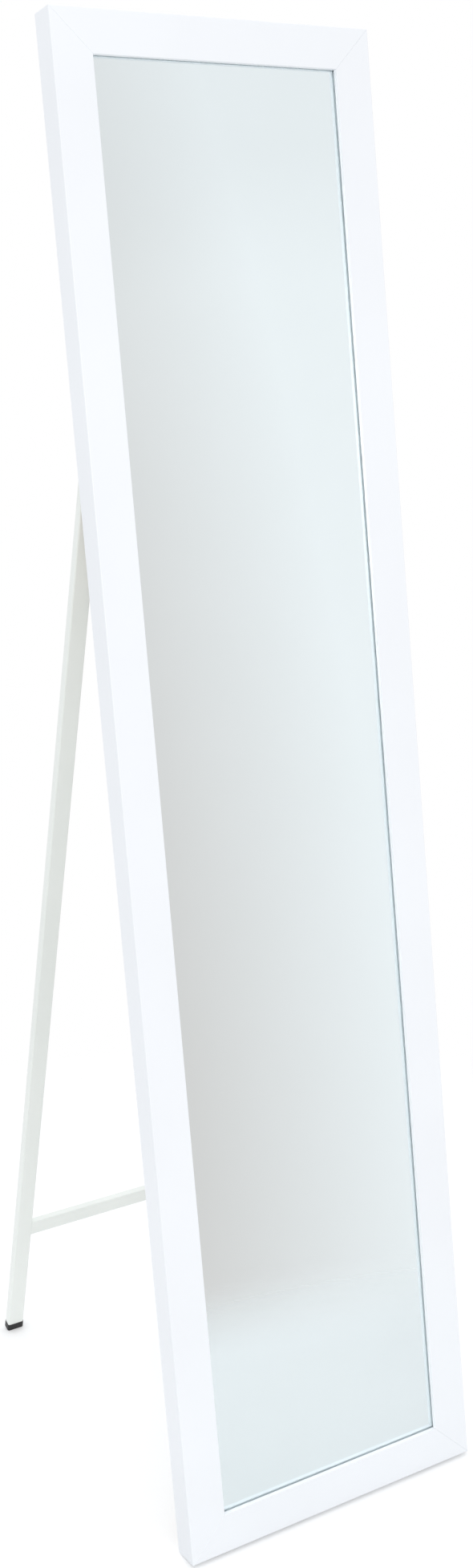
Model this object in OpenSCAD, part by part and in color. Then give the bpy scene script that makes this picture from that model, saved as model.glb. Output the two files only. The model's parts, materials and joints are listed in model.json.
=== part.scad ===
// Full-length floor mirror: a mitred frame that leans back on a hinged tube stand.
// Millimetres, +Z up, the front faces -Y, origin on the floor in the middle of the footprint.
// The frame is drawn upright in its own axes, x across, y from front to back, z up the frame,
// and lean() then tips it back until its rear bottom edge and both feet are on the floor.

/* [Frame] */
// Overall width of the frame
frame_w = 349; // [300:1:450]
// Overall height of the frame, measured along it
frame_h = 1523; // [1400:1:1700]
// Thickness of the moulding, front to back
frame_t = 31; // [28:0.5:36]
// Width of the moulding seen from the front
rail_w = 41; // [38:0.5:55]
// Depth from the front face to the glass
lip_t = 5; // [4:0.5:8]
// How far the lip reaches over the glass
lip_w = 9; // [6:0.5:11]

/* [Glass and back] */
// Thickness of the clear float glass
glass_t = 3; // [2.6:0.1:4]
// Thickness of the silver layer and its paint
silver_t = 0.2; // [0.2:0.1:0.4]
// Thickness of the foam sheet
foam_t = 1; // [0.5:0.5:2]
// Thickness of the back board
board_t = 3; // [2:0.5:4]
// Room round the glass and the boards in the rebate
rebate_gap = 1; // [0.5:0.5:2]
// Retaining points along each stile
stile_points = 7; // [4:1:12]
// Retaining points along each rail
rail_points = 2; // [1:1:3]

/* [Stand] */
// Width of the leg tube
tube_w = 20; // [18:0.5:24]
// Depth of the leg tube
tube_d = 11; // [10:0.5:12]
// Wall thickness of the tubes
tube_wall = 1.2; // [1:0.1:1.5]
// Outside corner radius of the tubes
tube_r = 2; // [1.5:0.1:2.5]
// Distance from the pivot to the sole of the foot cap
leg_len = 1150; // [1120:1:1180]
// How far each leg stands in from the side of the frame
leg_inset = 10; // [8:0.5:12]
// Angle between the legs and the back of the frame when open
open_angle = 23.8; // [20:0.1:26]
// Height of the middle of the cross bar above the sole
bar_h = 164.5; // [120:0.5:400]
// Size of the cross bar along the legs
bar_w = 20; // [16:0.5:24]
// Depth of the cross bar
bar_d = 8; // [6:0.5:9]
// Visible height of a foot cap
cap_h = 9.5; // [6:0.5:14]
// How far a foot cap stands proud of the tube
cap_proud = 0.5; // [0.3:0.1:1]

/* [Hinge] */
// Height of the pivot above the bottom of the frame
pivot_h = 1111; // [1090:1:1130]
// Distance from the back of the frame to the pivot
pivot_off = 11; // [10.5:0.5:13]
// Sheet thickness of the bracket
bracket_t = 1.5; // [1.5:0.1:2]
// Length of the bracket's plate above the pivot
plate_up = 34; // [30:1:45]
// Length of the bracket's plate below the pivot
plate_down = 34; // [30:1:45]
// Radius of the pivot bolt's shank
bolt_r = 3; // [2.5:0.25:3]

/* [Hidden] */
$fn = 48;
e = 0.01; // overcut, so that a cut passes right through its wall

// running and standing gaps
bolt_gap = 0.05;   // radial, bolt in bush and bracket
side_gap = 0.3;    // washer to leg
stop_gap = 0.15;   // leg top to bracket plate when open

// sheets stacked behind the lip
sheet_w = frame_w - 2 * (rail_w - lip_w + rebate_gap);
sheet_h = frame_h - 2 * (rail_w - lip_w + rebate_gap);
silver_y = lip_t + glass_t;
foam_y = silver_y + silver_t;
board_y = foam_y + foam_t;
points_y = board_y + board_t;

// retaining points
point_w = 8;
point_l = 16;
point_bite = 7;    // length driven into the moulding
point_t = 0.6;
point_end = 90;    // first point on a stile, from the sheet's end

// V-nails
nail_leg = 7;
nail_t = 0.5;
nail_l = 12;
nail_places = [0.3, 0.68]; // along the solid part of the mitre

// stand, along its own axis from the pivot
stop_reach = pivot_off - bracket_t - stop_gap;
leg_top = (stop_reach - tube_d / 2 * cos(open_angle)) / sin(open_angle);
plug_flange = 1.5;
plug_in = 4.5;
plug_wall_gap = 0.1;
leg_end = leg_len - cap_h;         // pivot to the lower end of the tube
cap_in = 16;
bar_wall = 1;
bar_r = 1.5;
bush_r = 4;
tube_in_w = tube_w - 2 * tube_wall;
tube_in_d = tube_d - 2 * tube_wall;
tube_in_r = tube_r - tube_wall;
leg_x = frame_w / 2 - leg_inset - tube_w / 2;
bar_l = 2 * leg_x - tube_w;

// hinge, across the leg
washer_t = 0.5;
washer_r = 5.5;
ear_in = tube_w / 2 + side_gap + washer_t;  // leg's middle to the inside of an ear
ear_out = ear_in + bracket_t;
ear_r = 5.5;
plate_r = 4;
head_t = 0.6;
head_r = 4;
nut_t = 5;
nut_r = 5.8;
socket_r = 2;
socket_depth = 1.1;
screw_r = 2;
screw_len = 18;
screw_head_r = 3.8;
screw_head_t = 2;
screw_hole_r = 2.2;
screw_z = [-25, 18, 27];       // screw places along the plate, from the pivot

// where the frame stands
pivot_y = frame_t + pivot_off;
cap_d = tube_d + 2 * cap_proud;
foot_z = pivot_h - leg_len * cos(open_angle) - cap_d / 2 * sin(open_angle);
foot_y = pivot_y + leg_len * sin(open_angle) - cap_d / 2 * cos(open_angle);
lean_angle = atan2(foot_z, foot_y - frame_t);
leg_slope = open_angle - lean_angle;       // legs to the vertical
front_y = 0;
rear_y = foot_y * cos(lean_angle) + foot_z * sin(lean_angle) + cap_d * cos(leg_slope);
mid_y = (front_y + rear_y) / 2;
lift = frame_t * sin(lean_angle);

module lean() {
    translate([0, -mid_y, lift]) rotate([-lean_angle, 0, 0]) children();
}

// a piece of the left side as it is, or its mirror image on the right
module side(right) {
    if (right) mirror([1, 0, 0]) children();
    else children();
}

// places the left leg's own axes: origin at the pivot, z up the leg, y to the rear
module at_leg() {
    translate([-leg_x, pivot_y, pivot_h]) rotate([open_angle, 0, 0]) children();
}

// places the left hinge's axes: origin at the pivot, square to the frame
module at_hinge() {
    translate([-leg_x, pivot_y, pivot_h]) children();
}

// rectangle with round corners, centred
module round_rect(w, d, r) {
    square([w - 2 * r, d], center = true);
    square([w, d - 2 * r], center = true);
    for (x = [-1, 1], y = [-1, 1])
        translate([x * (w / 2 - r), y * (d / 2 - r)]) circle(r);
}

// rod along x, from x0 to x1
module rod_x(r, x0, x1) {
    translate([x0, 0, 0]) rotate([0, 90, 0]) cylinder(r = r, h = x1 - x0);
}

/* Frame */

// moulding outline: x from the outer edge inwards, y from the front to the back
module moulding_outline() {
    square([rail_w, lip_t]);
    square([rail_w - lip_w, frame_t]);
}

// mitred length of moulding, standing along z, with its outer edge at x = 0
module moulding(len) {
    intersection() {
        linear_extrude(len) moulding_outline();
        translate([0, frame_t, 0]) rotate([90, 0, 0]) linear_extrude(frame_t)
            polygon([[0, 0], [rail_w, rail_w], [rail_w, len - rail_w], [0, len]]);
    }
}

module stile(right) {
    lean() side(right) color("white")
        translate([-frame_w / 2, 0, 0]) moulding(frame_h);
}

module rail(top) {
    lean() color("white") translate([0, 0, top ? frame_h : 0]) mirror([0, 0, top ? 1 : 0])
        translate([frame_w / 2, 0, 0]) rotate([0, -90, 0]) moulding(frame_w);
}

// V-shaped nail that bridges a mitre, its point on the joint line
module v_nail() {
    for (s = [0, 1]) rotate([0, 0, s ? 150 : 30]) translate([0, -nail_t / 2, 0])
        cube([nail_leg, nail_t, nail_l]);
}

module corner_nails() {
    lean() color("silver") for (x = [0, 1], z = [0, 1], k = nail_places)
        translate([0, 0, z ? frame_h : 0]) mirror([0, 0, z]) mirror([x, 0, 0])
            translate([-frame_w / 2 + k * (rail_w - lip_w), frame_t - e, k * (rail_w - lip_w)])
                rotate([0, 45, 0]) rotate([90, 0, 0]) v_nail();
}

/* Glass and back */

// full sheet in the rebate, its front at depth y
module sheet(y, t) {
    lean() translate([-sheet_w / 2, y, (frame_h - sheet_h) / 2]) cube([sheet_w, t, sheet_h]);
}

module glass_sheet() {
    color("lightcyan", 0.4) sheet(lip_t, glass_t);
}

module silver_layer() {
    color("lightsteelblue") sheet(silver_y, silver_t);
}

module foam_sheet() {
    color("whitesmoke") sheet(foam_y, foam_t);
}

module back_board() {
    color("gainsboro") sheet(board_y, board_t);
}

// one point, lying on the back board, driven into a moulding towards -x
module point() {
    translate([-point_bite, points_y, -point_w / 2]) cube([point_l, point_t, point_w]);
}

module retaining_points() {
    rebate_x = frame_w / 2 - rail_w + lip_w;
    rebate_z = rail_w - lip_w;
    run = sheet_h - 2 * point_end;
    lean() color("silver") {
        for (x = [0, 1], i = [0 : stile_points - 1]) mirror([x, 0, 0])
            translate([-rebate_x, 0, rebate_z + point_end + i * run / (stile_points - 1)]) point();
        for (z = [0, 1], i = [0 : rail_points - 1])
            translate([sheet_w * ((i + 1) / (rail_points + 1) - 0.5), 0, z ? frame_h : 0])
                mirror([0, 0, z]) translate([0, 0, rebate_z]) rotate([0, -90, 0]) point();
    }
}

/* Hinge */

// ear of the bracket, from the plate to its round end about the pivot
module ear() {
    rotate([90, 0, 90]) linear_extrude(bracket_t) {
        circle(ear_r);
        translate([-pivot_off, -ear_r]) square([pivot_off, 2 * ear_r]);
    }
}

module bracket(right) {
    plate_len = plate_up + plate_down;
    lean() side(right) at_hinge() color("silver") difference() {
        union() {
            translate([0, -pivot_off + bracket_t, (plate_up - plate_down) / 2]) rotate([90, 0, 0])
                linear_extrude(bracket_t) round_rect(2 * ear_out, plate_len, plate_r);
            translate([-ear_out, 0, 0]) ear();
            translate([ear_in, 0, 0]) ear();
        }
        rod_x(bolt_r + bolt_gap, -ear_out - e, ear_out + e);
        for (z = screw_z) translate([0, -pivot_off - e, z]) rotate([-90, 0, 0])
            cylinder(r = screw_hole_r, h = bracket_t + 2 * e);
    }
}

// pan-head wood screw, driven towards -y, its head's seat at y = 0
module wood_screw() {
    rotate([90, 0, 0]) {
        translate([0, 0, -screw_head_t]) difference() {
            union() {
                cylinder(r1 = screw_head_r * 0.7, r2 = screw_head_r, h = screw_head_t / 2);
                translate([0, 0, screw_head_t / 2]) cylinder(r = screw_head_r, h = screw_head_t / 2);
            }
            for (a = [0, 90]) rotate([0, 0, a])
                translate([-screw_head_r / 2, -screw_r / 5, -e]) cube([screw_head_r, screw_r / 2.5, 1]);
        }
        cylinder(r = screw_r, h = screw_len - screw_r);
        translate([0, 0, screw_len - screw_r]) cylinder(r1 = screw_r, r2 = 0, h = screw_r * 1.5);
    }
}

module bracket_screws(right) {
    lean() side(right) at_hinge() color("silver")
        for (z = screw_z) translate([0, -pivot_off + bracket_t, z]) wood_screw();
}

// bolt with a thin head outside the outer ear and its end through the nut
module pivot_bolt(right) {
    lean() side(right) at_hinge() color("silver") difference() {
        union() {
            rod_x(bolt_r, -ear_out - e, ear_out + nut_t + 1);
            rod_x(head_r, -ear_out - head_t, -ear_out);
        }
        translate([-ear_out - head_t - e, 0, 0]) rotate([0, 90, 0])
            cylinder(r = socket_r, h = socket_depth, $fn = 6);
    }
}

module lock_nut(right) {
    lean() side(right) at_hinge() color("silver") difference() {
        union() {
            translate([ear_out, 0, 0]) rotate([0, 90, 0]) cylinder(r = nut_r, h = nut_t * 0.7, $fn = 6);
            rod_x(nut_r * 0.8, ear_out, ear_out + nut_t);
        }
        rod_x(bolt_r, ear_out - e, ear_out + nut_t + e);
    }
}

module washers(right) {
    lean() side(right) at_hinge() color("white") for (x = [-ear_in, ear_in - washer_t])
        difference() {
            rod_x(washer_r, x, x + washer_t);
            rod_x(bolt_r + bolt_gap, x - e, x + washer_t + e);
        }
}

/* Stand */

module leg(right) {
    tube_top = leg_top - plug_flange;
    lean() side(right) at_leg() color("gainsboro") difference() {
        translate([0, 0, -leg_end]) linear_extrude(leg_end + tube_top) difference() {
            round_rect(tube_w, tube_d, tube_r);
            round_rect(tube_in_w, tube_in_d, tube_in_r);
        }
        rod_x(bush_r, -tube_w / 2 - e, tube_w / 2 + e);
    }
}

module pivot_bush(right) {
    lean() side(right) at_leg() color("ivory") difference() {
        rod_x(bush_r, -tube_w / 2, tube_w / 2);
        rod_x(bolt_r + bolt_gap, -tube_w / 2 - e, tube_w / 2 + e);
    }
}

module cross_bar() {
    lean() translate([leg_x, 0, 0]) at_leg() color("gainsboro")
        translate([-bar_l / 2, 0, bar_h - leg_len]) rotate([90, 0, 90]) linear_extrude(bar_l)
            difference() {
                round_rect(bar_d, bar_w, bar_r);
                round_rect(bar_d - 2 * bar_wall, bar_w - 2 * bar_wall, bar_r - bar_wall);
            }
}

// the part of a plug that goes into the tube, from z = 0 up
module insert(len) {
    linear_extrude(len) round_rect(tube_in_w - 2 * plug_wall_gap,
        tube_in_d - 2 * plug_wall_gap, tube_in_r);
}

module top_plug(right) {
    lean() side(right) at_leg() color("dimgray") translate([0, 0, leg_top - plug_flange]) {
        linear_extrude(plug_flange) round_rect(tube_w, tube_d, tube_r);
        // the insert stops short of the bush
        mirror([0, 0, 1]) insert(min(plug_in, leg_top - plug_flange - bush_r - 0.5));
    }
}

module foot_cap(right) {
    lean() side(right) at_leg() color("black") translate([0, 0, -leg_len]) {
        linear_extrude(cap_h)
            round_rect(tube_w + 2 * cap_proud, cap_d, tube_r + cap_proud);
        translate([0, 0, cap_h]) insert(cap_in);
    }
}

stile(false);  // left_stile
stile(true);  // right_stile
rail(true);  // top_rail
rail(false);  // bottom_rail
corner_nails();
glass_sheet();
silver_layer();
foam_sheet();
back_board();
retaining_points();
bracket(false);  // left_bracket
bracket(true);  // right_bracket
bracket_screws(false);  // left_bracket_screws
bracket_screws(true);  // right_bracket_screws
pivot_bolt(false);  // left_pivot_bolt
pivot_bolt(true);  // right_pivot_bolt
lock_nut(false);  // left_lock_nut
lock_nut(true);  // right_lock_nut
washers(false);  // left_washers
washers(true);  // right_washers
leg(false);  // left_leg
leg(true);  // right_leg
pivot_bush(false);  // left_pivot_bush
pivot_bush(true);  // right_pivot_bush
cross_bar();
top_plug(false);  // left_top_plug
top_plug(true);  // right_top_plug
foot_cap(false);  // left_foot_cap
foot_cap(true);  // right_foot_cap
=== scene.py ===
import json
import math
import bmesh
import bpy
from mathutils import Matrix, Vector


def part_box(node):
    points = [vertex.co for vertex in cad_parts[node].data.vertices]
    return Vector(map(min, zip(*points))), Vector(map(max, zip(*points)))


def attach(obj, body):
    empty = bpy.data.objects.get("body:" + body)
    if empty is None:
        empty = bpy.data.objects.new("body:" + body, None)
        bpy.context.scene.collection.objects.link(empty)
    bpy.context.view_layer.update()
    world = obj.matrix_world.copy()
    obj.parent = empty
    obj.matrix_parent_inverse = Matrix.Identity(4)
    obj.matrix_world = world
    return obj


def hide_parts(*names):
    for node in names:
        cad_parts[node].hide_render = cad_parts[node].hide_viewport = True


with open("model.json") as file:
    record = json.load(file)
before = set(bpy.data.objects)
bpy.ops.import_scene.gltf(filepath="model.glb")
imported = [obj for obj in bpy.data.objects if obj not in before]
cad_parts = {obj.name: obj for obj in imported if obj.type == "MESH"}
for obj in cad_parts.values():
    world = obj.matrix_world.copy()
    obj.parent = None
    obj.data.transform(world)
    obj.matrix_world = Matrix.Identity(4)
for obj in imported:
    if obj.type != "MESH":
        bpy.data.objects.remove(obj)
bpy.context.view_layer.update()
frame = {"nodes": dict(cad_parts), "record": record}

mm = 0.001
speck = 0.001 * mm              # points nearer than this are one point
near = 0.01 * mm                # and edges nearer than this are at the same place
sharpFrom = math.radians(38)    # edges folded more than this stay sharp, or are rounded


# The pieces are made in axes of their own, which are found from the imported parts.

def nodePoints(node):
    return [vertex.co for vertex in frame["nodes"][node].data.vertices]


def mirrorAxes():
    # x across, y from the front face to the back, z up the frame, from the front bottom edge
    points = nodePoints("left_stile")
    corner = min(points, key=lambda point: point.y)
    heel = min(points, key=lambda point: point.z)
    crown = max(points, key=lambda point: point.y)
    lean = math.atan2(crown.y - heel.y, crown.z - heel.z)
    return Matrix.Translation((0, corner.y, corner.z)) @ Matrix.Rotation(-lean, 4, "X")


def legAxes(side):
    # z up the leg and y to the rear, from the pivot
    points = nodePoints("left_leg")
    toe = min(points, key=lambda point: point.z)
    head = min(points, key=lambda point: point.y)
    slope = math.atan2(toe.y - head.y, head.z - toe.z)
    pivot = Vector(frame["record"]["behaviour"]["joints"][0]["pos_m"])
    low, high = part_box(side + "_leg")
    pivot.x = (low.x + high.x) / 2
    return Matrix.Translation(pivot) @ Matrix.Rotation(slope, 4, "X")


def hingeAxes(side):
    # square to the frame, from the pivot
    pivot = legAxes(side).to_translation()
    return Matrix.Translation(pivot) @ mirror.to_quaternion().to_matrix().to_4x4()


def boxIn(points, axes):
    inverse = axes.inverted()
    points = [inverse @ point for point in points]
    low = Vector([min(point[axis] for point in points) for axis in range(3)])
    high = Vector([max(point[axis] for point in points) for axis in range(3)])
    return low, high


def localBox(node, axes):
    return boxIn(nodePoints(node), axes)


def looseBoxes(node, axes):
    # one box for each separate solid of a node
    bm = bmesh.new()
    bm.from_mesh(frame["nodes"][node].data)
    bmesh.ops.remove_doubles(bm, verts=bm.verts, dist=2 * speck)
    waiting = set(bm.verts)
    boxes = []
    while waiting:
        reached = [waiting.pop()]
        for vertex in reached:
            for edge in vertex.link_edges:
                other = edge.other_vert(vertex)
                if other in waiting:
                    waiting.remove(other)
                    reached.append(other)
        boxes.append(boxIn([vertex.co for vertex in reached], axes))
    bm.free()
    return sorted(boxes, key=lambda box: (round(box[0].x, 4), round(box[0].z, 4)))


mirror = mirrorAxes()
print("axes ready, the frame leans back", round(math.degrees(math.acos(mirror[2][2])), 2), "degrees")


cameraView = {
    "place": (-0.8758, -1.6082, 1.2242),
    "turn": 30.05,     # degrees from +Y towards +X
    "pitch": -13.19,
    "roll": -1.336,
    "lens": 39.76,
    "shift": (-0.0036, -0.0302),
}


def makeCamera():
    data = bpy.data.cameras.new("camera")
    data.lens = cameraView["lens"]
    data.shift_x, data.shift_y = cameraView["shift"]
    data.clip_start = 0.05
    data.clip_end = 60
    camera = bpy.data.objects.new("camera", data)
    bpy.context.scene.collection.objects.link(camera)
    turn = Matrix.Rotation(-math.radians(cameraView["turn"]), 4, "Z")
    pitch = Matrix.Rotation(math.radians(90 + cameraView["pitch"]), 4, "X")
    roll = Matrix.Rotation(math.radians(cameraView["roll"]), 4, "Z")
    camera.matrix_world = Matrix.Translation(cameraView["place"]) @ turn @ pitch @ roll
    bpy.context.scene.camera = camera


makeCamera()
print("camera ready")


def newFinish(name):
    material = bpy.data.materials.new(name)
    material.use_nodes = True
    return material, material.node_tree, material.node_tree.nodes["Principled BSDF"]


def noise(tree, scale, detail, stretch=(1, 1, 1)):
    spot = tree.nodes.new("ShaderNodeTexCoord")
    mapping = tree.nodes.new("ShaderNodeMapping")
    mapping.inputs["Scale"].default_value = stretch
    pattern = tree.nodes.new("ShaderNodeTexNoise")
    pattern.inputs["Scale"].default_value = scale
    pattern.inputs["Detail"].default_value = detail
    tree.links.new(spot.outputs["Object"], mapping.inputs["Vector"])
    tree.links.new(mapping.outputs["Vector"], pattern.inputs["Vector"])
    return pattern.outputs[0]


noiseReach = {"numbers": (0.32, 0.68), "colours": (0.34, 0.66)}     # a noise value stays near its middle


def between(tree, value, low, high):
    # a noise value spread from low to high
    reach = tree.nodes.new("ShaderNodeMapRange")
    reach.inputs["From Min"].default_value = noiseReach["numbers"][0]
    reach.inputs["From Max"].default_value = noiseReach["numbers"][1]
    reach.inputs["To Min"].default_value = low
    reach.inputs["To Max"].default_value = high
    tree.links.new(value, reach.inputs["Value"])
    return reach.outputs["Result"]


def twoColours(tree, value, first, second):
    ramp = tree.nodes.new("ShaderNodeValToRGB")
    for stop, position, colour in zip(ramp.color_ramp.elements, noiseReach["colours"], (first, second)):
        stop.position = position
        stop.color = (*colour, 1)
    tree.links.new(value, ramp.inputs["Fac"])
    return ramp.outputs["Color"]


def relief(tree, value, depth, strength, under=None):
    bump = tree.nodes.new("ShaderNodeBump")
    bump.inputs["Distance"].default_value = depth
    bump.inputs["Strength"].default_value = strength
    tree.links.new(value, bump.inputs["Height"])
    if under:
        tree.links.new(under, bump.inputs["Normal"])
    return bump.outputs["Normal"]


def plainFinish(name, look):
    # clouds of colour, a fine grain in the gloss, and a relief of peel over grain
    material, tree, shader = newFinish(name)
    stretch = look.get("stretch", (1, 1, 1))
    clouds = noise(tree, look["cloudScale"], 4, stretch)
    grain = noise(tree, look["grainScale"], 3, stretch)
    peel = noise(tree, look["peelScale"], 2, stretch)
    tree.links.new(twoColours(tree, clouds, *look["colours"]), shader.inputs["Base Color"])
    tree.links.new(between(tree, grain, *look["roughness"]), shader.inputs["Roughness"])
    under = relief(tree, peel, look["peelDepth"], look["strength"])
    over = relief(tree, grain, look["grainDepth"], look["strength"], under)
    tree.links.new(over, shader.inputs["Normal"])
    shader.inputs["Metallic"].default_value = look.get("metallic", 0.0)
    shader.inputs["Specular IOR Level"].default_value = look.get("specular", 0.5)
    shader.inputs["Coat Weight"].default_value = look.get("coat", 0.0)
    shader.inputs["Coat Roughness"].default_value = look.get("coatRoughness", 0.2)
    return material


finishLooks = {
    "white foil": {
        "colours": ((0.842, 0.864, 0.893), (0.866, 0.889, 0.918)),
        "cloudScale": 5.0, "grainScale": 1400.0, "peelScale": 260.0,
        "roughness": (0.30, 0.40), "peelDepth": 0.02 * mm, "grainDepth": 0.006 * mm,
        "strength": 0.35,
    },
    "raw fibreboard": {
        "colours": ((0.37, 0.255, 0.15), (0.445, 0.32, 0.20)),
        "cloudScale": 150.0, "grainScale": 1800.0, "peelScale": 500.0,
        "roughness": (0.78, 0.92), "peelDepth": 0.15 * mm, "grainDepth": 0.08 * mm,
        "strength": 0.6, "stretch": (1, 1, 0.35),
    },
    "hardboard": {
        "colours": ((0.655, 0.66, 0.655), (0.695, 0.70, 0.695)),
        "cloudScale": 22.0, "grainScale": 1500.0, "peelScale": 420.0,
        "roughness": (0.48, 0.70), "peelDepth": 0.12 * mm, "grainDepth": 0.08 * mm,
        "strength": 0.5,
    },
    "foam": {
        "colours": ((0.78, 0.79, 0.79), (0.86, 0.87, 0.87)),
        "cloudScale": 30.0, "grainScale": 1600.0, "peelScale": 600.0,
        "roughness": (0.6, 0.8), "peelDepth": 0.2 * mm, "grainDepth": 0.1 * mm,
        "strength": 0.7,
    },
    "plain steel": {
        "colours": ((0.40, 0.41, 0.42), (0.52, 0.53, 0.54)),
        "cloudScale": 90.0, "grainScale": 2500.0, "peelScale": 700.0,
        "roughness": (0.30, 0.45), "peelDepth": 0.02 * mm, "grainDepth": 0.01 * mm,
        "strength": 0.4, "metallic": 1.0,
    },
    "zinc plate": {
        "colours": ((0.56, 0.58, 0.60), (0.70, 0.71, 0.70)),
        "cloudScale": 55.0, "grainScale": 2200.0, "peelScale": 500.0,
        "roughness": (0.24, 0.38), "peelDepth": 0.02 * mm, "grainDepth": 0.01 * mm,
        "strength": 0.4, "metallic": 1.0,
    },
    "stand paint": {
        "colours": ((0.798, 0.830, 0.799), (0.830, 0.860, 0.829)),
        "cloudScale": 9.0, "grainScale": 1100.0, "peelScale": 420.0,
        "roughness": (0.30, 0.42), "peelDepth": 0.05 * mm, "grainDepth": 0.012 * mm,
        "strength": 0.45, "coat": 0.15, "coatRoughness": 0.25,
    },
    "black plastic": {
        "colours": ((0.007, 0.007, 0.008), (0.014, 0.014, 0.015)),
        "cloudScale": 45.0, "grainScale": 2000.0, "peelScale": 900.0,
        "roughness": (0.38, 0.55), "peelDepth": 0.04 * mm, "grainDepth": 0.02 * mm,
        "strength": 0.5,
    },
    "nylon": {
        "colours": ((0.72, 0.71, 0.66), (0.80, 0.79, 0.75)),
        "cloudScale": 120.0, "grainScale": 2200.0, "peelScale": 800.0,
        "roughness": (0.35, 0.5), "peelDepth": 0.02 * mm, "grainDepth": 0.01 * mm,
        "strength": 0.4,
    },
    "backing paint": {
        "colours": ((0.20, 0.205, 0.215), (0.26, 0.265, 0.275)),
        "cloudScale": 18.0, "grainScale": 1500.0, "peelScale": 300.0,
        "roughness": (0.5, 0.65), "peelDepth": 0.03 * mm, "grainDepth": 0.015 * mm,
        "strength": 0.4,
    },
}
finishes = {name: plainFinish(name, look) for name, look in finishLooks.items()}


glassLook = {
    "tint": (0.919, 0.979, 0.992),
    "lighter": 1.004,           # times the tint, where it has been wiped
    "roughness": (0.0, 0.004),
    "smudgeScale": 14.0,
    "index": 1.52,
}


def glassFinish():
    # clear float glass, its gloss very slightly uneven
    material, tree, shader = newFinish("clear glass")
    smudges = noise(tree, glassLook["smudgeScale"], 4)
    wiped = [channel * glassLook["lighter"] for channel in glassLook["tint"]]
    tree.links.new(twoColours(tree, smudges, glassLook["tint"], wiped), shader.inputs["Base Color"])
    tree.links.new(between(tree, smudges, *glassLook["roughness"]), shader.inputs["Roughness"])
    shader.inputs["Transmission Weight"].default_value = 1.0
    shader.inputs["IOR"].default_value = glassLook["index"]
    return material


silverLook = {
    "colours": ((0.955, 0.96, 0.955), (0.965, 0.968, 0.965)),
    "roughness": (0.0, 0.003),
    "cloudScale": 8.0,
}


def silverFinish():
    material, tree, shader = newFinish("silver")
    clouds = noise(tree, silverLook["cloudScale"], 3)
    tree.links.new(twoColours(tree, clouds, *silverLook["colours"]), shader.inputs["Base Color"])
    tree.links.new(between(tree, clouds, *silverLook["roughness"]), shader.inputs["Roughness"])
    shader.inputs["Metallic"].default_value = 1.0
    return material


finishes["clear glass"] = glassFinish()
finishes["silver"] = silverFinish()
print("finishes ready:", len(finishes))


def boolean(bm, cutter, operation="DIFFERENCE"):
    # a new bmesh cut from, or joined to, another; both are used up
    shapes = []
    for part in (bm, cutter):
        mesh = bpy.data.meshes.new("shape")
        part.to_mesh(mesh)
        part.free()
        shape = bpy.data.objects.new("shape", mesh)
        bpy.context.scene.collection.objects.link(shape)
        shapes.append(shape)
    tool = shapes[0].modifiers.new("tool", "BOOLEAN")
    tool.object = shapes[1]
    tool.operation = operation
    tool.solver = "EXACT"
    result = bmesh.new()
    bpy.context.view_layer.update()
    result.from_object(shapes[0], bpy.context.evaluated_depsgraph_get())
    for shape in shapes:
        mesh = shape.data
        bpy.data.objects.remove(shape)
        bpy.data.meshes.remove(mesh)
    return result


def place(bm, name, axes, finishNames, body, nodes, edges=0.0):
    # turns a bmesh in its own axes into a finished piece on its body, with its edges rounded if asked
    bmesh.ops.remove_doubles(bm, verts=bm.verts, dist=speck)
    bmesh.ops.transform(bm, matrix=axes, verts=bm.verts)
    bmesh.ops.recalc_face_normals(bm, faces=bm.faces)
    mesh = bpy.data.meshes.new(name)
    bm.to_mesh(mesh)
    bm.free()
    for finishName in finishNames:
        mesh.materials.append(finishes[finishName])
    mesh.shade_smooth()
    mesh.set_sharp_from_angle(angle=math.pi if edges else sharpFrom)
    piece = bpy.data.objects.new(name, mesh)
    bpy.context.scene.collection.objects.link(piece)
    if edges:
        rounding = piece.modifiers.new("edges", "BEVEL")
        rounding.width = edges
        rounding.segments = 2
        rounding.limit_method = "ANGLE"
        rounding.angle_limit = sharpFrom
    weighted = piece.modifiers.new("flat faces", "WEIGHTED_NORMAL")
    weighted.keep_sharp = not edges
    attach(piece, body)
    if nodes:
        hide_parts(*nodes)
    return piece


def block(low, high):
    bm = bmesh.new()
    bmesh.ops.create_cube(bm, size=1)
    bmesh.ops.scale(bm, vec=Vector(high) - Vector(low), verts=bm.verts)
    bmesh.ops.translate(bm, vec=(Vector(low) + Vector(high)) / 2, verts=bm.verts)
    return bm


def rotate(bm, angle, axis):
    bmesh.ops.rotate(bm, cent=(0, 0, 0), matrix=Matrix.Rotation(angle, 3, axis), verts=bm.verts)


def cutAcross(bm, x):
    # a line of edges all round at this x
    bmesh.ops.bisect_plane(bm, geom=bm.verts[:] + bm.edges[:] + bm.faces[:], dist=speck,
                           plane_co=(x, 0, 0), plane_no=(1, 0, 0))


def edgesAlong(bm, axis, test=lambda middle: True):
    found = []
    for edge in bm.edges:
        along = (edge.verts[1].co - edge.verts[0].co).normalized()
        if abs(along[axis]) > 0.99 and test((edge.verts[0].co + edge.verts[1].co) / 2):
            found.append(edge)
    return found


def roundEdges(bm, edges, radius, segments=4):
    bmesh.ops.bevel(bm, geom=edges, offset=radius, offset_type="OFFSET", segments=segments,
                    profile=0.5, affect="EDGES", clamp_overlap=True, material=-1)


def turned(profile, steps=40, axis="X"):
    # (along, radius) points in millimetres, spun about an axis; they start and end on it, or close
    bm = bmesh.new()
    points = [bm.verts.new((along * mm, radius * mm, 0)) for along, radius in profile]
    edges = [bm.edges.new(pair) for pair in zip(points, points[1:])]
    bmesh.ops.spin(bm, geom=points + edges, cent=(0, 0, 0), axis=(1, 0, 0), dvec=(0, 0, 0),
                   angle=2 * math.pi, steps=steps, use_merge=True, use_duplicate=False)
    bmesh.ops.remove_doubles(bm, verts=bm.verts, dist=speck / 2)
    bmesh.ops.recalc_face_normals(bm, faces=bm.faces)
    if axis == "Y":
        rotate(bm, math.pi / 2, "Z")
    return bm


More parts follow.
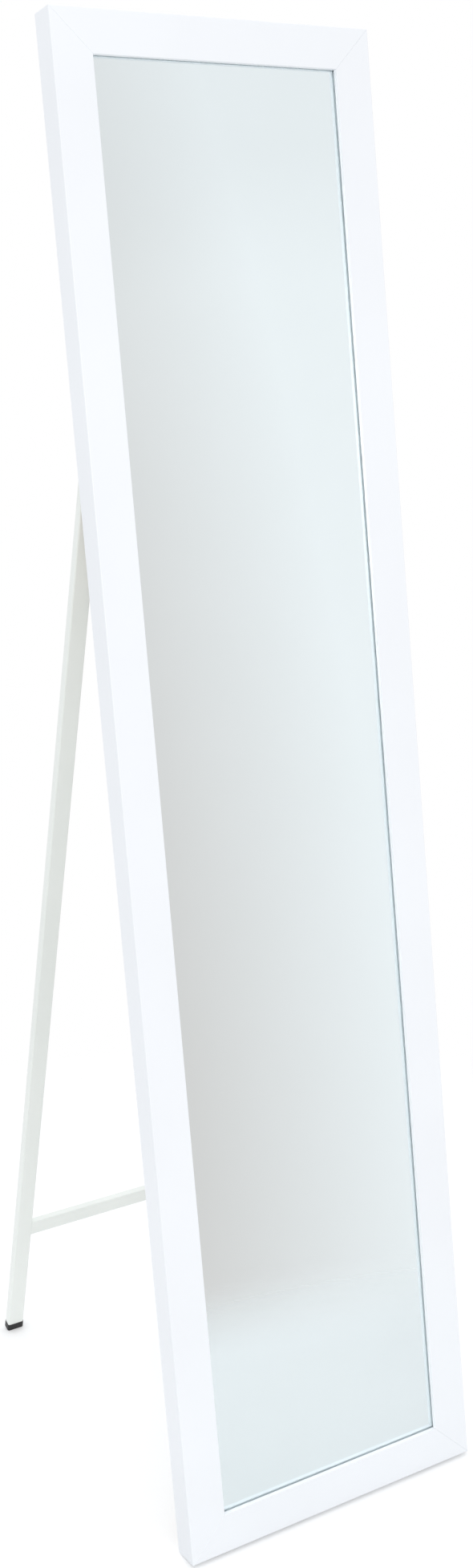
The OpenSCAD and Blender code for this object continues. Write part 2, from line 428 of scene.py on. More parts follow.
def roundOutline(bm, width, depth, radius):
    # a face in the xy plane with round corners
    made = bmesh.ops.create_grid(bm, x_segments=1, y_segments=1, size=0.5)
    bmesh.ops.scale(bm, vec=(width, depth, 1), verts=made["verts"])
    bmesh.ops.bevel(bm, geom=made["verts"], offset=radius, offset_type="OFFSET", segments=5,
                    profile=0.5, affect="VERTICES", clamp_overlap=True, material=-1)
    return bm.faces[:]


def raiseFaces(bm, faces, height):
    grown = bmesh.ops.extrude_face_region(bm, geom=faces)
    top = [item for item in grown["geom"] if isinstance(item, bmesh.types.BMVert)]
    bmesh.ops.translate(bm, vec=(0, 0, height), verts=top)
    return top


def merge(target, source):
    mesh = bpy.data.meshes.new("shape")
    source.to_mesh(mesh)
    source.free()
    target.from_mesh(mesh)
    bpy.data.meshes.remove(mesh)


mouldingShape = {
    "outerArris": 1.1 * mm,
    "lipArris": 0.5 * mm,
    "backArris": 0.35 * mm,
    "jointArris": 0.45 * mm,    # rounding at the mitres, which leaves a fine groove
    "foilLap": 7 * mm,          # how far the foil is turned round onto the back
    "glassGap": 1 * mm,         # from the glass to the side of the rebate
}


def moulding(length, width, lipWidth, lip, depth):
    # along z with its outer side at x = 0 and its front at y = 0, both ends mitred
    bm = bmesh.new()
    inner = width - lipWidth
    corners = [(0, 0), (width, 0), (width, lip), (inner, lip), (inner, depth), (0, depth)]
    outline = bm.faces.new([bm.verts.new((x, y, 0)) for x, y in corners])
    top = raiseFaces(bm, [outline], length)
    for vertex in bm.verts:
        vertex.co.z = length - vertex.co.x if vertex in top else vertex.co.x
    for x, y, radius in ((0, 0, "outerArris"), (width, 0, "lipArris"), (width, lip, "jointArris"),
                         (0, depth, "backArris"), (inner, depth, "jointArris")):
        spot = Vector((x, y))
        corner = edgesAlong(bm, 2, lambda middle: (middle.xy - spot).length < near)
        roundEdges(bm, corner, mouldingShape[radius])
    # only the mitred ends have more than six corners
    ends = [face for face in bm.faces if len(face.verts) > 6 and abs(face.normal.z) > 0.5]
    rims = list({edge for face in ends for edge in face.edges})
    roundEdges(bm, rims, mouldingShape["jointArris"], 3)
    lap = mouldingShape["foilLap"]
    cutAcross(bm, lap)
    bm.normal_update()
    for face in bm.faces:
        middle = face.calc_center_median()
        behind = face.normal.y > 0.5 and middle.x > lap and middle.y > depth / 2
        cut = abs(face.normal.z) > 0.5 and len(face.verts) > 6
        face.material_index = 1 if behind or cut else 0
    return bm


def makeFrame():
    low, high = localBox("left_stile", mirror)
    glassLow = localBox("glass_sheet", mirror)[0]
    depth = high.y - low.y
    width = high.x - low.x
    lipWidth = width - (glassLow.x - low.x - mouldingShape["glassGap"])
    size = (width, lipWidth, glassLow.y - low.y, depth)
    tall = high.z - low.z
    wide = -2 * low.x
    sides = {
        "stile_left": (tall, Matrix.Translation((low.x, 0, 0)), "left_stile"),
        "stile_right": (tall, Matrix.Translation((-low.x, 0, 0)) @ Matrix.Scale(-1, 4, (1, 0, 0)),
                        "right_stile"),
        "rail_bottom": (wide, Matrix.Translation((-low.x, 0, 0)) @ Matrix.Rotation(-math.pi / 2, 4, "Y"),
                        "bottom_rail"),
        "rail_top": (wide, Matrix.Translation((low.x, 0, tall)) @ Matrix.Rotation(math.pi / 2, 4, "Y"),
                     "top_rail"),
    }
    for name, (length, stand, node) in sides.items():
        bm = moulding(length, *size)
        place(bm, name, mirror @ stand, ["white foil", "raw fibreboard"], "mirror_frame", [node])


makeFrame()
print("frame ready")


sheetShape = {
    "clearance": 0.06 * mm,   # air between the lip and the glass
    "bond": 0.05 * mm,        # the silver's face lies this far into the glass
    "seam": 0.4 * mm,         # glass edges are seamed
    "boardCorner": 2 * mm,
    "boardEdge": 0.3 * mm,
}


def makeSheets():
    low, high = localBox("glass_sheet", mirror)
    low.y += sheetShape["clearance"]
    bm = block(low, high)
    roundEdges(bm, bm.edges[:], sheetShape["seam"], 1)
    place(bm, "glass", mirror, ["clear glass"], "mirror_frame", ["glass_sheet"])

    low, high = localBox("silver_layer", mirror)
    low.y -= sheetShape["bond"]
    shrink = Vector((1, 0, 1)) * sheetShape["seam"]
    bm = block(low + shrink, high - shrink)
    for face in bm.faces:
        face.material_index = 0 if face.normal.y < -0.5 else 1
    place(bm, "silvering", mirror, ["silver", "backing paint"], "mirror_frame", ["silver_layer"])

    low, high = localBox("foam_sheet", mirror)
    bm = block(low, high)
    roundEdges(bm, edgesAlong(bm, 1), sheetShape["boardCorner"], 3)
    place(bm, "foam", mirror, ["foam"], "mirror_frame", ["foam_sheet"])

    low, high = localBox("back_board", mirror)
    bm = block(low, high)
    roundEdges(bm, edgesAlong(bm, 1), sheetShape["boardCorner"], 4)
    rims = [edge for edge in bm.edges if abs(edge.verts[0].co.y - edge.verts[1].co.y) < near
            and len([face for face in edge.link_faces if abs(face.normal.y) > 0.9]) == 1]
    roundEdges(bm, rims, sheetShape["boardEdge"], 2)
    place(bm, "board", mirror, ["hardboard"], "mirror_frame", ["back_board"])


makeSheets()
print("glass and back ready")


nailShape = {
    "leg": 7 * mm,
    "sheet": 0.5 * mm,
    "proud": 0.12 * mm,
    "spread": (-15, 105),     # degrees, the directions of the two legs of the V
}


def makeCornerNails():
    # V-nails across the mitres, driven in from the back
    boxes = looseBoxes("corner_nails", mirror)
    tall = localBox("left_stile", mirror)[1].z
    bm = bmesh.new()
    for low, high in boxes:
        nail = bmesh.new()
        for angle in nailShape["spread"]:
            leg = block((0, low.y, -nailShape["sheet"] / 2),
                        (nailShape["leg"], high.y + nailShape["proud"], nailShape["sheet"] / 2))
            rotate(leg, -math.radians(angle), "Y")
            merge(nail, leg)
        middle = (low + high) / 2
        turn = (-1 if middle.x > 0 else 1, 1, -1 if middle.z > tall / 2 else 1)
        bmesh.ops.scale(nail, vec=turn, verts=nail.verts)
        nailLow, nailHigh = boxIn([vertex.co for vertex in nail.verts], Matrix.Identity(4))
        shift = middle - (nailLow + nailHigh) / 2
        bmesh.ops.translate(nail, vec=(shift.x, 0, shift.z), verts=nail.verts)
        merge(bm, nail)
    place(bm, "v_nails", mirror, ["plain steel"], "mirror_frame", ["corner_nails"])


pointShape = {
    "taper": 0.42,        # of the width, at the driven end
    "freeCorner": 1.2 * mm,
    "bendAt": 0.72,       # of the length
    "bendUp": 16,         # degrees
    "edge": 0.08 * mm,
}


def retainingPoint(length, width, thick):
    # flat steel point along x, driven end at the origin, free end bent up a little
    bm = bmesh.new()
    bmesh.ops.create_grid(bm, x_segments=1, y_segments=1, size=0.5)
    bmesh.ops.scale(bm, vec=(length, width, 1), verts=bm.verts)
    half = length / 2
    bmesh.ops.translate(bm, vec=(half, 0, 0), verts=bm.verts)
    driven = [vertex for vertex in bm.verts if vertex.co.x < half]
    bmesh.ops.bevel(bm, geom=driven, offset=pointShape["taper"] * width, segments=1, profile=0.5,
                    affect="VERTICES", material=-1)
    free = [vertex for vertex in bm.verts if vertex.co.x > half]
    bmesh.ops.bevel(bm, geom=free, offset=pointShape["freeCorner"], segments=3, profile=0.5,
                    affect="VERTICES", material=-1)
    bend = pointShape["bendAt"] * length
    cutAcross(bm, bend)
    raiseFaces(bm, bm.faces[:], thick)
    slope = math.tan(math.radians(pointShape["bendUp"]))
    for vertex in bm.verts:
        vertex.co.z += max(0, vertex.co.x - bend) * slope
    return bm


def makeRetainingPoints():
    tall = localBox("left_stile", mirror)[1].z
    bm = bmesh.new()
    for low, high in looseBoxes("retaining_points", mirror):
        middle = (low + high) / 2
        size = high - low
        if size.x > size.z:    # into a stile
            inward = Vector((1 if middle.x < 0 else -1, 0, 0))
        else:
            inward = Vector((0, 0, 1 if middle.z < tall / 2 else -1))
        across = inward.cross((0, 1, 0))
        length = max(size.x, size.z)
        point = retainingPoint(length, min(size.x, size.z), size.y)
        turn = Matrix((inward, across, (0, 1, 0))).transposed().to_4x4()
        start = middle - inward * length / 2
        start.y = low.y
        bmesh.ops.transform(point, matrix=Matrix.Translation(start) @ turn, verts=point.verts)
        merge(bm, point)
    place(bm, "points", mirror, ["plain steel"], "mirror_frame", ["retaining_points"],
          edges=pointShape["edge"])


makeCornerNails()
makeRetainingPoints()
print("nails and points ready")


bracketShape = {
    "sheet": 1.5 * mm,
    "corner": 4 * mm,
    "bendOutside": 2.0 * mm,
    "bendInside": 0.6 * mm,
    "relief": 1.2 * mm,       # notch above and below each ear
    "earFlat": 0.02 * mm,     # left between the two quarter rounds of an ear's end
    "pivotHole": 3.05 * mm,
    "screwHole": 2.2 * mm,
    "edge": 0.15 * mm,
}


def rodAlong(axis, radius, start, end, centre=(0, 0, 0), segments=40):
    # a solid rod along x or y
    bm = bmesh.new()
    bmesh.ops.create_cone(bm, cap_ends=True, segments=segments, radius1=radius, radius2=radius,
                          depth=end - start)
    bmesh.ops.translate(bm, vec=(0, 0, (start + end) / 2), verts=bm.verts)
    if axis == "X":
        rotate(bm, math.pi / 2, "Y")
    else:
        rotate(bm, -math.pi / 2, "X")
    bmesh.ops.translate(bm, vec=centre, verts=bm.verts)
    return bm


def makeBracket(side):
    axes = hingeAxes(side)
    low, high = localBox(side + "_bracket", axes)
    sheet = bracketShape["sheet"]
    ear = high.y            # the ears' round ends are about the pivot
    face = low.y + sheet
    plate = block(low, (high.x, face, high.z))
    roundEdges(plate, edgesAlong(plate, 1), bracketShape["corner"], 5)
    notchEnd = ear + bracketShape["relief"]
    for sign in (-1, 1):
        notch = block((high.x - bracketShape["bendOutside"], low.y - mm, -notchEnd),
                      (high.x + mm, face + mm, notchEnd))
        bmesh.ops.scale(notch, vec=(sign, 1, 1), verts=notch.verts)
        bmesh.ops.recalc_face_normals(notch, faces=notch.faces)
        plate = boolean(plate, notch)
    ears = block((low.x, low.y, -ear), (high.x, high.y, ear))
    roundEdges(ears, edgesAlong(ears, 2, lambda middle: middle.y < face), bracketShape["bendOutside"], 4)
    roundEnd = ear - bracketShape["earFlat"]
    roundEdges(ears, edgesAlong(ears, 0, lambda middle: middle.y > 0), roundEnd, 12)
    hollow = block((low.x + sheet, face, -notchEnd), (high.x - sheet, high.y + mm, notchEnd))
    roundEdges(hollow, edgesAlong(hollow, 2, lambda middle: middle.y < 0), bracketShape["bendInside"], 3)
    bm = boolean(boolean(ears, hollow), plate, "UNION")
    bm = boolean(bm, rodAlong("X", bracketShape["pivotHole"], low.x - mm, high.x + mm))
    for screwLow, screwHigh in looseBoxes(side + "_bracket_screws", axes):
        centre = (0, 0, (screwLow.z + screwHigh.z) / 2)
        bm = boolean(bm, rodAlong("Y", bracketShape["screwHole"], low.y - mm, face + mm, centre))
    place(bm, "bracket_" + side, axes, ["zinc plate"], "mirror_frame", [side + "_bracket"],
          edges=bracketShape["edge"])


screwShape = {                    # millimetres
    "head": [(0, 3.4), (0.15, 3.72), (0.7, 3.8), (1.25, 3.6), (1.7, 2.9), (1.95, 1.6), (2.0, 0)],
    "tip": (1.6, 0.75),           # length of the point, and the radius it grows to
    "core": 1.35,
    "crest": 1.98,
    "pitch": 1.7,
    "threaded": (2, 3),           # from this far behind the tip to about this far below the head
    "shank": (1.2, 1.95),         # length and radius of the plain part under the head
    "recess": (4.2, 0.95, 1.25),  # length, width and depth of the cross
    "recessFoot": (0.45, 0.7),    # shares of its length and width that are left at its bottom
    "recessTurn": 20,             # degrees
    "turnBetween": 1.1,           # radians, from one screw's cross to the next
}


def woodScrew(length):
    # along y, head towards +y with its seat at 0
    tipLength, tipRadius = screwShape["tip"]
    shankLength, shankRadius = screwShape["shank"]
    profile = [(-length, 0), (tipLength - length, tipRadius)]
    spot = screwShape["threaded"][0] - length
    while spot < -screwShape["threaded"][1]:
        profile += [(spot, screwShape["core"]), (spot + screwShape["pitch"] / 2, screwShape["crest"])]
        spot += screwShape["pitch"]
    profile += [(spot, screwShape["core"]), (-shankLength, shankRadius), (0, shankRadius)]
    bm = turned(profile + screwShape["head"], 36, "Y")
    long, wide, deep = [size * mm for size in screwShape["recess"]]
    crown = screwShape["head"][-1][0] * mm
    for angle in (0, 90):
        blade = block((-long / 2, crown - deep, -wide / 2), (long / 2, crown + mm / 2, wide / 2))
        for vertex in blade.verts:
            if vertex.co.y < crown:
                vertex.co.x *= screwShape["recessFoot"][0]
                vertex.co.z *= screwShape["recessFoot"][1]
        rotate(blade, math.radians(angle + screwShape["recessTurn"]), "Y")
        bm = boolean(bm, blade)
    return bm


def makeScrews(side):
    axes = hingeAxes(side)
    seat = localBox(side + "_bracket", axes)[0].y + bracketShape["sheet"]
    bm = bmesh.new()
    for index, (low, high) in enumerate(looseBoxes(side + "_bracket_screws", axes)):
        screw = woodScrew((seat - low.y) / mm)
        rotate(screw, index * screwShape["turnBetween"], "Y")
        bmesh.ops.translate(screw, vec=(0, seat, (low.z + high.z) / 2), verts=screw.verts)
        merge(bm, screw)
    place(bm, "screws_" + side, axes, ["zinc plate"], "mirror_frame", [side + "_bracket_screws"])


boltShape = {                     # millimetres
    "headEdge": [(0, 0.55), (0.2, 0.15), (0.45, 0)],    # in from the head's face, and in from its rim
    "radius": 3.0,
    "rootRadius": 2.62,
    "pitch": 1.0,
    "plain": 0.3,                 # past the far ear, before the thread
    "tipChamfer": 0.2,
    "socket": 2.0,                # radius over the corners
    "socketDepth": 1.1,
}

nutShape = {                      # millimetres
    "hex": 3.5,                   # height of the hexagon
    "chamfer": (0.45, 0.99),      # along the nut, and in from its corners
    "collar": 4.64,
    "collarEdge": [(0.5, 0), (0.15, 0.15), (0, 0.5)],   # in from the collar's face, and in from its side
    "hole": 3.02,
    "ring": (3.0, 3.75),          # hole and outside of the nylon ring
    "ringSeat": 0.9,              # how deep it sits
    "ringSunk": 0.1,              # and how far its face lies below the collar's
}


def outwards(side):
    # hinge pieces are made with their heads towards -x, and turned over for the right side
    return Matrix.Scale(-1 if side == "right" else 1, 4, (1, 0, 0))


def makeBolt(side):
    axes = hingeAxes(side) @ outwards(side)
    low, high = localBox(side + "_pivot_bolt", axes)
    earOut = -localBox(side + "_bracket", axes)[0].x / mm
    start, end, head = low.x / mm, high.x / mm, high.z / mm
    radius, root, pitch = boltShape["radius"], boltShape["rootRadius"], boltShape["pitch"]
    profile = [(start, 0)] + [(start + depth, head - inset) for depth, inset in boltShape["headEdge"]]
    profile += [(-earOut, head), (-earOut, radius)]
    spot = earOut + boltShape["plain"]
    while spot < end - pitch:
        profile += [(spot, radius), (spot + pitch / 2, root)]
        spot += pitch
    profile += [(spot, radius), (end, root - boltShape["tipChamfer"]), (end, 0)]
    bm = turned(profile)
    bottom = start + boltShape["socketDepth"]
    socket = rodAlong("X", boltShape["socket"] * mm, (start - 1) * mm, bottom * mm, segments=6)
    bm = boolean(bm, socket)
    place(bm, "bolt_" + side, axes, ["zinc plate"], "mirror_frame", [side + "_pivot_bolt"])


def ring(inner, outer, start, end, edge=0.1, steps=40):
    # closed ring about x with small chamfers, in millimetres
    loop = [(start, inner + edge), (start, outer - edge), (start + edge, outer), (end - edge, outer),
            (end, outer - edge), (end, inner + edge), (end - edge, inner), (start + edge, inner)]
    return turned(loop + loop[:1], steps)


def makeNut(side):
    axes = hingeAxes(side) @ outwards(side)
    low, high = localBox(side + "_lock_nut", axes)
    across = high.z / mm        # radius over the corners
    start, end = low.x / mm, high.x / mm
    body = start + nutShape["hex"]
    bm = rodAlong("X", across * mm, start * mm, body * mm, segments=6)
    rotate(bm, math.pi / 6, "X")
    chamfer, inset = nutShape["chamfer"]
    skim = 0.01                 # the turned shape stands this proud, and only its chamfers cut
    dome = turned([(start - skim, 0), (start - skim, across - inset),
                   (start + chamfer, across + 2 * skim), (body - chamfer, across + 2 * skim),
                   (body + skim, across - inset), (body + skim, 0)], 48)
    bm = boolean(bm, dome, "INTERSECT")
    collar = nutShape["collar"]
    foot = body - 0.5           # inside the hexagon
    edge = [(end - depth, collar - inset) for depth, inset in nutShape["collarEdge"]]
    bm = boolean(bm, turned([(foot, 0), (foot, collar)] + edge + [(end, 0)], 48), "UNION")
    hole, outside = nutShape["ring"]
    seat = end - nutShape["ringSeat"]
    bm = boolean(bm, rodAlong("X", outside * mm, seat * mm, (end + 1) * mm))
    bm = boolean(bm, rodAlong("X", nutShape["hole"] * mm, (start - 1) * mm, (end + 1) * mm))
    for face in bm.faces:
        face.material_index = 0
    metal = len(bm.faces)
    merge(bm, ring(hole, outside, seat, end - nutShape["ringSunk"], 0.08, 48))
    bm.faces.ensure_lookup_table()
    for face in bm.faces[metal:]:
        face.material_index = 1
    place(bm, "nut_" + side, axes, ["zinc plate", "nylon"], "mirror_frame", [side + "_lock_nut"])


def makeWashersAndBush(side):
    axes = hingeAxes(side)
    bm = bmesh.new()
    for low, high in looseBoxes(side + "_washers", axes):
        merge(bm, ring(bracketShape["pivotHole"] / mm, high.z / mm, low.x / mm, high.x / mm))
    place(bm, "washers_" + side, axes, ["nylon"], "mirror_frame", [side + "_washers"])
    axes = legAxes(side)
    low, high = localBox(side + "_pivot_bush", axes)
    bm = ring(bracketShape["pivotHole"] / mm, high.z / mm, low.x / mm, high.x / mm, 0.25)
    place(bm, "bush_" + side, axes, ["nylon"], "stand", [side + "_pivot_bush"])


for side in ("left", "right"):
    makeBracket(side)
    makeScrews(side)
    makeBolt(side)
    makeNut(side)
    makeWashersAndBush(side)
print("hinges ready")


tubeShape = {
    "legWall": 1.2 * mm,
    "legCorner": 2.0 * mm,
    "barWall": 1.0 * mm,
    "barCorner": 1.5 * mm,
    "bushHole": 4.0 * mm,
}


def tube(width, depth, length, wall, corner):
    # hollow tube standing on z = 0
    bm = bmesh.new()
    outline = roundOutline(bm, width, depth, corner)
    bmesh.ops.inset_region(bm, faces=outline, thickness=wall, use_boundary=True, use_even_offset=True)
    bmesh.ops.delete(bm, geom=outline, context="FACES_ONLY")
    raiseFaces(bm, bm.faces[:], length)
    return bm


def makeLeg(side):
    axes = legAxes(side)
    low, high = localBox(side + "_leg", axes)
    size = high - low
    bm = tube(size.x, size.y, size.z, tubeShape["legWall"], tubeShape["legCorner"])
    bmesh.ops.translate(bm, vec=(0, 0, low.z), verts=bm.verts)
    bmesh.ops.recalc_face_normals(bm, faces=bm.faces)
    bm = boolean(bm, rodAlong("X", tubeShape["bushHole"], low.x - mm, high.x + mm))
    place(bm, "leg_" + side, axes, ["stand paint"], "stand", [side + "_leg"])


weldShape = {
    "radius": 1.5 * mm,
    "ripple": 0.14,           # of the radius
    "step": 0.85 * mm,
    "sink": 0.35 * mm,        # how far the bead's middle lies in the tubes
    "endTaper": 0.55,
    "short": 1.5 * mm,        # the rear bead stops this far from the bar's corners
    "run": 0.55,              # of the bar's depth, the beads over and under it
    "runGap": 1.2 * mm,       # and how far they keep from the bar's rear
}


def weldBead(length):
    # a rippled bead along z from the origin, with tapered ends
    bm = bmesh.new()
    count = max(4, round(length / weldShape["step"]))
    previous = None
    for index in range(count + 1):
        swell = 1 + weldShape["ripple"] * (1 if index % 2 else -1)
        taper = weldShape["endTaper"] if index in (0, count) else 1
        made = bmesh.ops.create_circle(bm, cap_ends=index in (0, count), segments=10,
                                       radius=weldShape["radius"] * swell * taper)
        bmesh.ops.translate(bm, vec=(0, 0, length * index / count), verts=made["verts"])
        edges = list({edge for vertex in made["verts"] for edge in vertex.link_edges})
        if previous:
            bmesh.ops.bridge_loops(bm, edges=previous + edges)
        previous = edges
    return bm


def makeCrossBar():
    axes = legAxes("left")
    low, high = localBox("cross_bar", axes)
    size = high - low
    bm = tube(size.y, size.z, size.x, tubeShape["barWall"], tubeShape["barCorner"])
    turn = Matrix(((0, 0, 1), (1, 0, 0), (0, 1, 0)))     # the tube's own z runs along x
    bmesh.ops.transform(bm, matrix=turn.to_4x4(), verts=bm.verts)
    bmesh.ops.translate(bm, vec=(low.x, 0, (low.z + high.z) / 2), verts=bm.verts)
    place(bm, "bar", axes, ["stand paint"], "stand", ["cross_bar"])

    sink, short = weldShape["sink"], weldShape["short"]
    length = size.y * weldShape["run"]
    beads = bmesh.new()
    for x in (low.x + sink, high.x - sink):
        rear = weldBead(size.z - 2 * short)
        bmesh.ops.translate(rear, vec=(x, high.y - sink, low.z + short), verts=rear.verts)
        merge(beads, rear)
        for z in (low.z + sink, high.z - sink):
            run = weldBead(length)
            rotate(run, -math.pi / 2, "X")
            bmesh.ops.translate(run, vec=(x, high.y - weldShape["runGap"] - length, z), verts=run.verts)
            merge(beads, run)
    place(beads, "welds", axes, ["stand paint"], "stand", [])


plugShape = {
    "capCorner": 2.5 * mm,
    "soleEdge": 0.7 * mm,
    "rimEdge": 0.3 * mm,
    "insertGap": 0.1 * mm,
    "insertTaper": 0.96,
}


def stopper(width, depth, height, corner, insert, insertInset, edges):
    # a block with round corners on z = 0 and its insert above it
    bm = bmesh.new()
    sole = roundOutline(bm, width, depth, corner)
    raiseFaces(bm, sole, height)
    bmesh.ops.recalc_face_normals(bm, faces=bm.faces)
    for z, edge in zip((0, height), edges):
        rim = [item for item in bm.edges if all(abs(vertex.co.z - z) < near for vertex in item.verts)]
        roundEdges(bm, rim, edge, 3)
    top = [face for face in bm.faces if face.normal.z > 0.99 and len(face.verts) > 8]
    bmesh.ops.inset_region(bm, faces=top, thickness=insertInset - edges[1], use_boundary=True,
                           use_even_offset=True)
    tip = raiseFaces(bm, top, insert)
    bmesh.ops.delete(bm, geom=top, context="FACES_ONLY")    # left inside, where the insert begins
    bmesh.ops.scale(bm, vec=(plugShape["insertTaper"], plugShape["insertTaper"], 1), verts=tip)
    return bm


def makeCapsAndPlugs(side):
    axes = legAxes(side)
    legLow, legHigh = localBox(side + "_leg", axes)
    wall = tubeShape["legWall"] + plugShape["insertGap"]
    low, high = localBox(side + "_foot_cap", axes)
    proud = high.x - legHigh.x
    bm = stopper(high.x - low.x, high.y - low.y, legLow.z - low.z, plugShape["capCorner"],
                 high.z - legLow.z, wall + proud, (plugShape["soleEdge"], plugShape["rimEdge"]))
    bmesh.ops.translate(bm, vec=(0, 0, low.z), verts=bm.verts)
    place(bm, "foot_" + side, axes, ["black plastic"], "stand", [side + "_foot_cap"])

    low, high = localBox(side + "_top_plug", axes)
    bm = stopper(high.x - low.x, high.y - low.y, high.z - legHigh.z, tubeShape["legCorner"],
                 legHigh.z - low.z, wall, (plugShape["rimEdge"] * 2, plugShape["rimEdge"] / 2))
    bmesh.ops.scale(bm, vec=(1, 1, -1), verts=bm.verts)
    bmesh.ops.translate(bm, vec=(0, 0, high.z), verts=bm.verts)
    place(bm, "plug_" + side, axes, ["black plastic"], "stand", [side + "_top_plug"])


for side in ("left", "right"):
    makeLeg(side)
    makeCapsAndPlugs(side)
makeCrossBar()
print("stand ready")


studioLook = {
    "bright": (0.940, 0.950, 0.965),   # what the mirror sees to its right
    "shade": (0.732, 0.700, 0.690),    # and the soft grey patch to its left
    "patchTo": (0.205, -0.968, -0.14),
    "patchReach": (0.239, 0.366),
    "patchTall": 0.38,
    "ceiling": (0.22, 0.30, 0.945),    # from this height to this one it dims to this share
    "leftWall": (-0.15, -0.85, 0.87),  # the same towards the left
    "overhead": (0.50, 0.75, 0.40),    # and above, how much is added
    "backdrop": (1.0, 1.0, 1.0),
}

floorLook = {
    "radius": 3,
    "colours": ((0.742, 0.748, 0.752), (0.757, 0.763, 0.767)),
    "cloudScale": 3.0,
    "roughness": 0.8,
    "specular": 0.2,
    "glow": 0.23,                      # it is a lit white table, as seen
    "shine": (0.0, 0.17),              # and what it gives out in front of the mirror and behind it
    "shineFrom": (-0.30, 0.05),        # metres towards the rear, between which that changes
    "fade": (0.70, 1.05),              # metres from the middle, where it goes over into the backdrop
}

keyLight = {
    "place": (-1.9, -3.2, 1.6),
    "aim": (0.0, 0.0, 0.6),
    "size": 1.2,
    "power": 27.5,
    "colour": (1.0, 0.995, 0.985),
}


def rangeNode(tree, value, reach, result=(0, 1), smooth=False):
    node = tree.nodes.new("ShaderNodeMapRange")
    node.interpolation_type = "SMOOTHSTEP" if smooth else "LINEAR"
    for name, number in zip(("From Min", "From Max", "To Min", "To Max"), (*reach, *result)):
        node.inputs[name].default_value = number
    tree.links.new(value, node.inputs["Value"])
    return node.outputs["Result"]


def vectorNode(tree, operation, first, second=None):
    node = tree.nodes.new("ShaderNodeVectorMath")
    node.operation = operation
    tree.links.new(first, node.inputs[0])
    if second:
        node.inputs[1].default_value = second
    return node.outputs["Value" if operation == "LENGTH" else "Vector"]


def makeWorld():
    # an even white backdrop, and round it the soft greys that light the piece and fill the mirror
    world = bpy.data.worlds.new("studio")
    bpy.context.scene.world = world
    world.use_nodes = True
    tree = world.node_tree
    room = tree.nodes["Background"]
    direction = tree.nodes.new("ShaderNodeTexCoord").outputs["Generated"]
    offset = vectorNode(tree, "SUBTRACT", direction, studioLook["patchTo"])
    squeezed = vectorNode(tree, "MULTIPLY", offset, (1, 1, studioLook["patchTall"]))
    away = vectorNode(tree, "LENGTH", squeezed)
    ramp = tree.nodes.new("ShaderNodeValToRGB")
    ramp.color_ramp.elements[0].color = (*studioLook["shade"], 1)
    ramp.color_ramp.elements[1].color = (*studioLook["bright"], 1)
    tree.links.new(rangeNode(tree, away, studioLook["patchReach"]), ramp.inputs["Fac"])
    tree.links.new(ramp.outputs["Color"], room.inputs["Color"])
    parts = tree.nodes.new("ShaderNodeSeparateXYZ")
    tree.links.new(direction, parts.inputs[0])
    strength = tree.nodes.new("ShaderNodeMath")
    strength.operation = "MULTIPLY"
    for index, (axis, wall) in enumerate((("Z", "ceiling"), ("X", "leftWall"))):
        start, end, dimmed = studioLook[wall]
        share = rangeNode(tree, parts.outputs[axis], (start, end), (1, dimmed), smooth=True)
        tree.links.new(share, strength.inputs[index])
    start, end, extra = studioLook["overhead"]
    lamp = tree.nodes.new("ShaderNodeMath")
    lamp.operation = "ADD"
    tree.links.new(strength.outputs[0], lamp.inputs[0])
    above = rangeNode(tree, parts.outputs["Z"], (start, end), (0, extra), smooth=True)
    tree.links.new(above, lamp.inputs[1])
    tree.links.new(lamp.outputs[0], room.inputs["Strength"])
    backdrop = tree.nodes.new("ShaderNodeBackground")
    backdrop.inputs["Color"].default_value = (*studioLook["backdrop"], 1)
    path = tree.nodes.new("ShaderNodeLightPath")
    mix = tree.nodes.new("ShaderNodeMixShader")
    tree.links.new(path.outputs["Is Camera Ray"], mix.inputs[0])
    tree.links.new(room.outputs[0], mix.inputs[1])
    tree.links.new(backdrop.outputs[0], mix.inputs[2])
    tree.links.new(mix.outputs[0], tree.nodes["World Output"].inputs["Surface"])


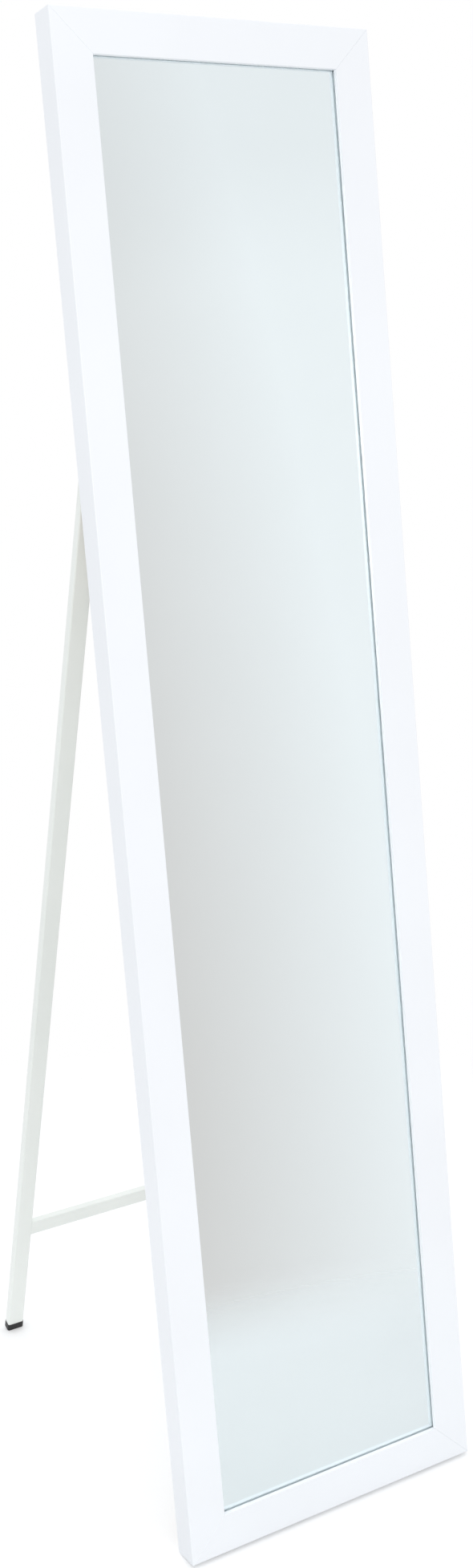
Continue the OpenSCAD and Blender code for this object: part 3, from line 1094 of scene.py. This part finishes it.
def makeFloor():
    bm = bmesh.new()
    bmesh.ops.create_circle(bm, cap_ends=True, segments=64, radius=floorLook["radius"])
    mesh = bpy.data.meshes.new("floor")
    bm.to_mesh(mesh)
    bm.free()
    floor = bpy.data.objects.new("floor", mesh)
    bpy.context.scene.collection.objects.link(floor)
    material, tree, shader = newFinish("pale floor")
    clouds = noise(tree, floorLook["cloudScale"], 3)
    tree.links.new(twoColours(tree, clouds, *floorLook["colours"]), shader.inputs["Base Color"])
    shader.inputs["Roughness"].default_value = floorLook["roughness"]
    shader.inputs["Specular IOR Level"].default_value = floorLook["specular"]
    shader.inputs["Emission Color"].default_value = (1, 1, 1, 1)
    spot = tree.nodes.new("ShaderNodeTexCoord").outputs["Object"]
    parts = tree.nodes.new("ShaderNodeSeparateXYZ")
    tree.links.new(spot, parts.inputs[0])
    shine = rangeNode(tree, parts.outputs["Y"], floorLook["shineFrom"], floorLook["shine"], smooth=True)
    glow = tree.nodes.new("ShaderNodeMix")     # from what it gives out to how it is seen
    tree.links.new(tree.nodes.new("ShaderNodeLightPath").outputs["Is Camera Ray"], glow.inputs[0])
    tree.links.new(shine, glow.inputs[2])
    glow.inputs[3].default_value = floorLook["glow"]
    tree.links.new(glow.outputs[0], shader.inputs["Emission Strength"])
    fade = rangeNode(tree, vectorNode(tree, "LENGTH", spot), floorLook["fade"], smooth=True)
    clear = tree.nodes.new("ShaderNodeBsdfTransparent")
    mix = tree.nodes.new("ShaderNodeMixShader")
    tree.links.new(fade, mix.inputs[0])
    tree.links.new(shader.outputs[0], mix.inputs[1])
    tree.links.new(clear.outputs[0], mix.inputs[2])
    tree.links.new(mix.outputs[0], tree.nodes["Material Output"].inputs["Surface"])
    mesh.materials.append(material)


def makeLight(name, look):
    data = bpy.data.lights.new(name, "AREA")
    data.shape = "DISK"
    data.size = look["size"]
    data.energy = look["power"]
    data.color = look["colour"]
    light = bpy.data.objects.new(name, data)
    bpy.context.scene.collection.objects.link(light)
    turn = (Vector(look["aim"]) - Vector(look["place"])).to_track_quat("-Z", "Y")
    light.matrix_world = Matrix.Translation(look["place"]) @ turn.to_matrix().to_4x4()


makeWorld()
makeFloor()
makeLight("key light", keyLight)
bpy.context.scene.view_settings.view_transform = "Standard"
bpy.context.scene.cycles.blur_glossy = 0    # light off the mirror keeps its full strength
print("studio ready")
